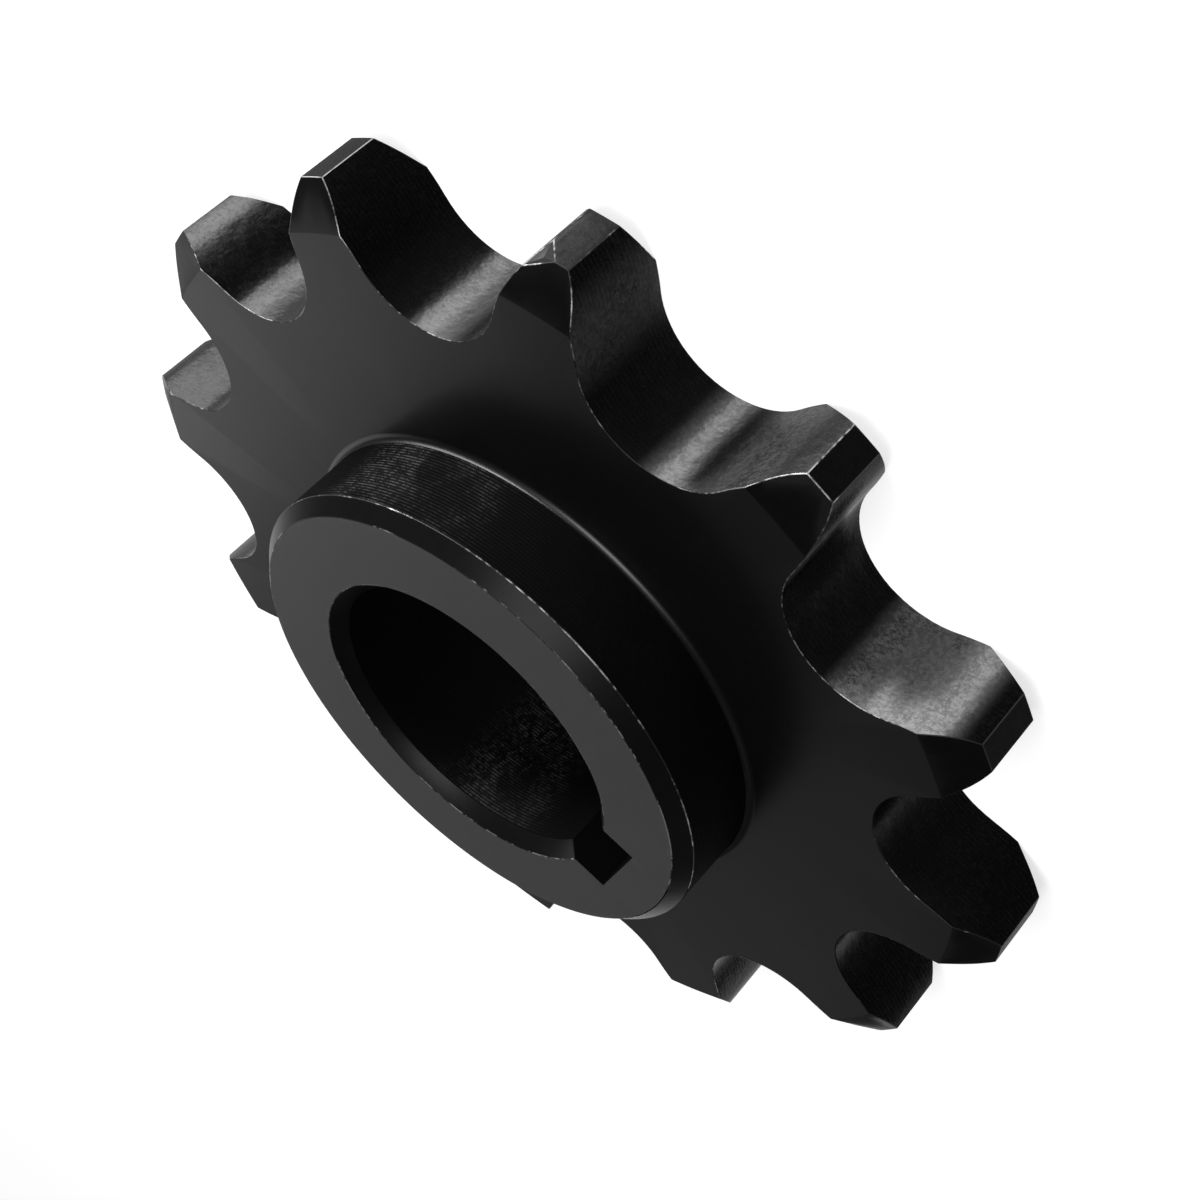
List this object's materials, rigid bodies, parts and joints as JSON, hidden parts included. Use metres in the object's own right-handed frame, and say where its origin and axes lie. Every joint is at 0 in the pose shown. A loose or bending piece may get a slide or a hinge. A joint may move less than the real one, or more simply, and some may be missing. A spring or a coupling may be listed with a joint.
{
  "type": "chain sprocket",
  "caption": "Small roller chain sprocket: a toothed steel plate with a short hub on one side, a bored shaft hole and one keyway.",
  "frame": {"origin": "centre of the bore at the plate's flat back face", "axes": "+Z along the bore towards the hub, +X through the middle of the tooth gap nearest the keyway"},
  "size_m": [0.065, 0.065, 0.0134],
  "materials": {
    "steel": "black oxide over turned and hobbed steel, bare bright metal on worn edges"
  },
  "bodies": {
    "root": {"sprocket": "steel"}
  },
  "joints": []
}
